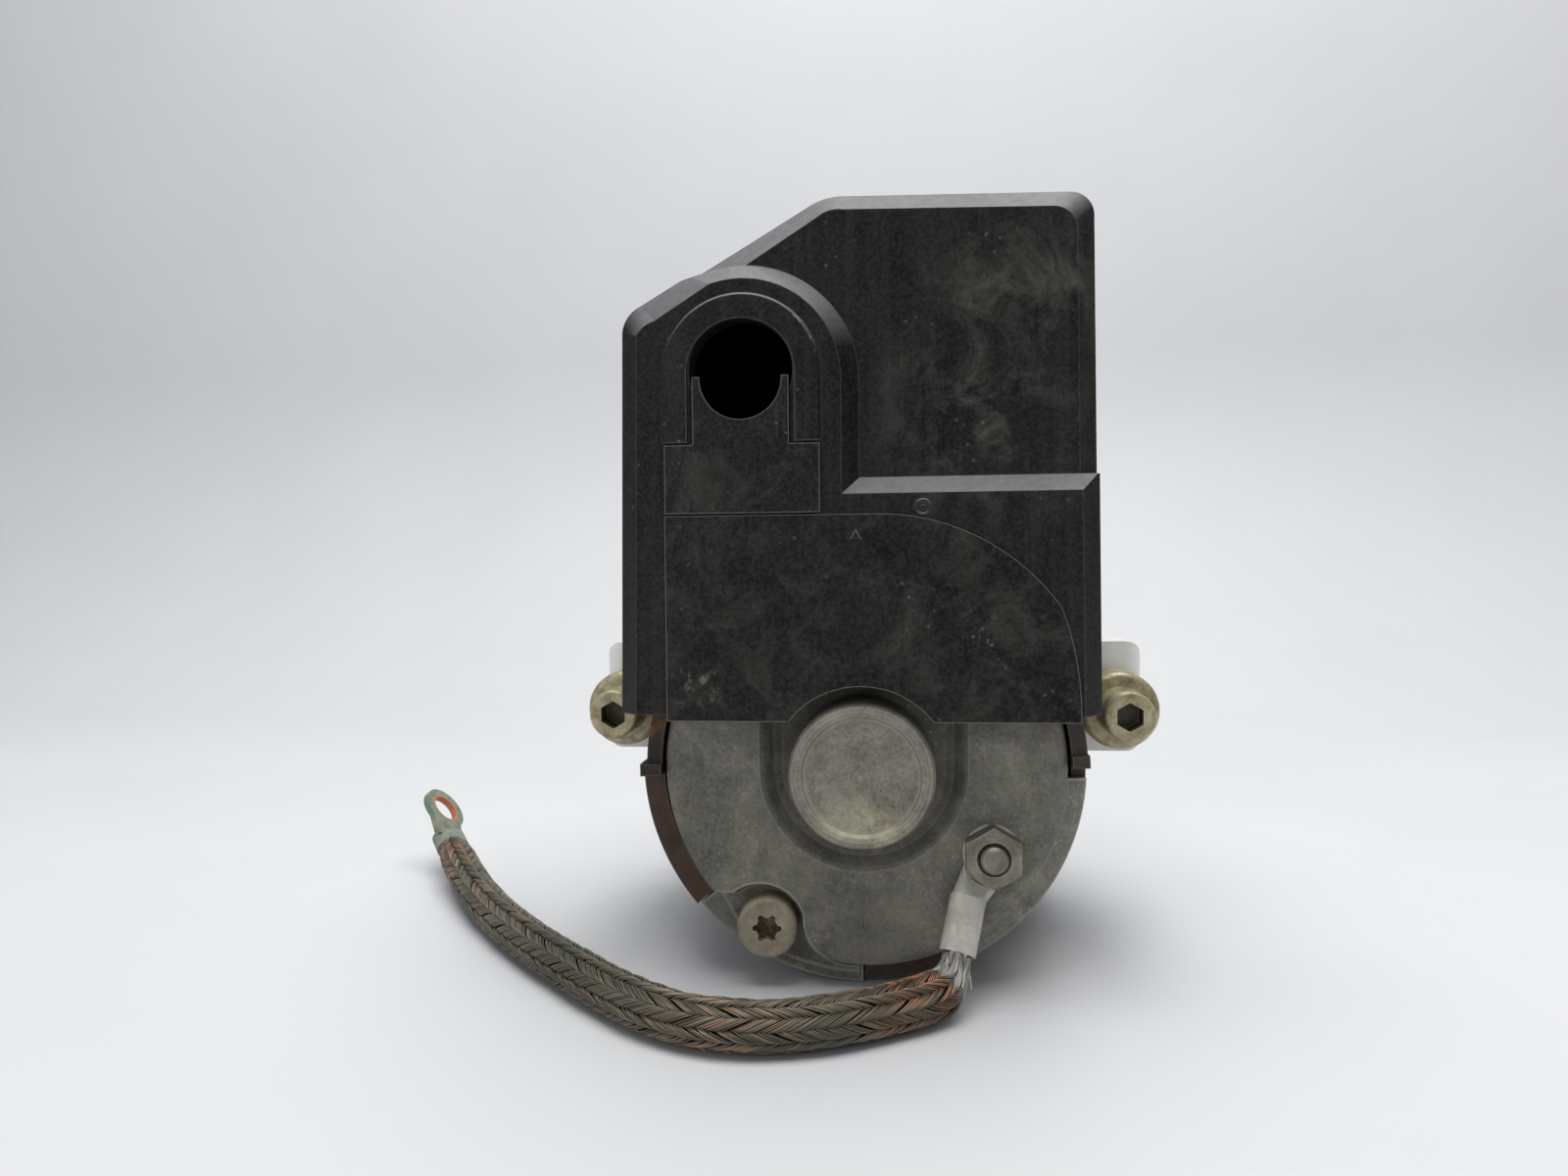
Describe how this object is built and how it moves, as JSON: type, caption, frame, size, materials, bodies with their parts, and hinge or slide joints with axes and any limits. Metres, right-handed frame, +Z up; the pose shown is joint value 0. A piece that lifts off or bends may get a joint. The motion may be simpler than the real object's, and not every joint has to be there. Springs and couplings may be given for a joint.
{
  "type": "anti-lock brake hydraulic unit",
  "caption": "Motor-driven brake hydraulic unit: round end shield, aluminium valve block, tall black relay hood with a cable gland, and a braided copper ground strap ending in an eye",
  "frame": {"origin": "on the surface that the unit stands on, below the middle of the unit without its strap", "axes": "+X to the right and +Y to the back, seen from the motor's end shield; +Z up; the motor's axis lies along Y"},
  "size_m": [0.1797, 0.1269, 0.1464],
  "materials": {
    "hood_plastic": "black moulded, dusty and scratched",
    "panel_plastic": "black moulded, flat",
    "shield_metal": "dark grey-olive, mottled",
    "housing_steel": "thin drawn steel, rust brown",
    "clamp_steel": "dark strip with rust",
    "cap_steel": "dull grey-olive with a worn rim",
    "screw_zinc": "dull olive zinc",
    "stud_zinc": "yellow zinc, dirty",
    "tinned_copper": "dull tin",
    "braid_copper": "oxidised copper wire braid",
    "aged_copper": "copper with grey-green patina",
    "block_aluminium": "machined, dull",
    "lug_aluminium": "bright",
    "port_steel": "machined",
    "bright_steel": "ground",
    "piston_aluminium": "anodised",
    "core_iron": "laminated",
    "winding_copper": "enamelled copper",
    "ferrite": "sintered",
    "carbon": "pressed carbon",
    "gasket_rubber": "moulded",
    "inner_plastic": "glass-filled, black",
    "relay_plastic": "dark grey case",
    "coil_plastic": "overmoulded coil"
  },
  "bodies": {
    "unit": {"accumulator_cap_left": "port_steel", "accumulator_cap_right": "port_steel", "accumulator_spring_left": "bright_steel", "accumulator_spring_right": "bright_steel", "bearing_cap": "cap_steel", "brush_holder": "inner_plastic", "brush_left": "carbon", "brush_right": "carbon", "clamp_arch": "clamp_steel", "end_shield": "shield_metal", "far_lug": "aged_copper", "front_bearing": "bright_steel", "ground_nut": "stud_zinc", "ground_strap": "braid_copper", "ground_stud": "stud_zinc", "harness_socket": "inner_plastic", "inlet_1": "port_steel", "inlet_2": "port_steel", "magnet_left": "ferrite", "magnet_right": "ferrite", "motor_gasket": "gasket_rubber", "motor_screw_1": "screw_zinc", "motor_screw_2": "screw_zinc", "mount_stud_left": "stud_zinc", "mount_stud_right": "stud_zinc", "near_lug": "tinned_copper", "outlet_1": "port_steel", "outlet_2": "port_steel", "outlet_3": "port_steel", "pole_housing": "housing_steel", "pump_plug_left": "port_steel", "pump_plug_right": "port_steel", "rear_bearing": "bright_steel", "relay_1": "relay_plastic", "relay_2": "relay_plastic", "relay_carrier": "inner_plastic", "side_lug_left": "lug_aluminium", "side_lug_right": "lug_aluminium", "valve_block": "block_aluminium", "valve_body_1": "bright_steel", "valve_body_2": "bright_steel", "valve_body_3": "bright_steel", "valve_coil_1": "coil_plastic", "valve_coil_2": "coil_plastic", "valve_coil_3": "coil_plastic"},
    "hood": {"hood": "hood_plastic", "front_panel": "panel_plastic", "cable_gate": "panel_plastic"},
    "rotor": {"motor_shaft": "bright_steel", "eccentric_ring": "bright_steel", "armature_core": "core_iron", "armature_winding": "winding_copper", "commutator": "winding_copper"},
    "pump_piston_left": {"pump_piston_left": "bright_steel"},
    "pump_piston_right": {"pump_piston_right": "bright_steel"},
    "accumulator_left": {"accumulator_piston_left": "piston_aluminium"},
    "accumulator_right": {"accumulator_piston_right": "piston_aluminium"},
    "plunger_1": {"valve_plunger_1": "bright_steel"},
    "plunger_2": {"valve_plunger_2": "bright_steel"},
    "plunger_3": {"valve_plunger_3": "bright_steel"}
  },
  "joints": [
    {"name": "hood_lift", "type": "slide", "parent": "unit", "child": "hood", "axis": [0, 0, 1], "range_m": [0, 0.1]},
    {"name": "rotor_spin", "type": "hinge", "parent": "unit", "child": "rotor", "pos_m": [0, 0, 0.042], "axis": [0, 1, 0], "continuous": true},
    {"name": "pump_stroke_left", "type": "slide", "parent": "unit", "child": "pump_piston_left", "axis": [1, 0, 0], "range_m": [0, 0.0009]},
    {"name": "pump_stroke_right", "type": "slide", "parent": "unit", "child": "pump_piston_right", "axis": [-1, 0, 0], "range_m": [0, 0.0009]},
    {"name": "accumulator_stroke_left", "type": "slide", "parent": "unit", "child": "accumulator_left", "axis": [0, 0, 1], "range_m": [-0.005, 0], "stiffness_N_per_m": 2000, "springref_m": 0.003, "deforming": ["accumulator_spring_left"]},
    {"name": "accumulator_stroke_right", "type": "slide", "parent": "unit", "child": "accumulator_right", "axis": [0, 0, 1], "range_m": [-0.005, 0], "stiffness_N_per_m": 2000, "springref_m": 0.003, "deforming": ["accumulator_spring_right"]},
    {"name": "plunger_lift_1", "type": "slide", "parent": "unit", "child": "plunger_1", "axis": [0, 0, 1], "range_m": [0, 0.0015], "stiffness_N_per_m": 600, "springref_m": -0.002},
    {"name": "plunger_lift_2", "type": "slide", "parent": "unit", "child": "plunger_2", "axis": [0, 0, 1], "range_m": [0, 0.0015], "stiffness_N_per_m": 600, "springref_m": -0.002},
    {"name": "plunger_lift_3", "type": "slide", "parent": "unit", "child": "plunger_3", "axis": [0, 0, 1], "range_m": [0, 0.0015], "stiffness_N_per_m": 600, "springref_m": -0.002}
  ]
}
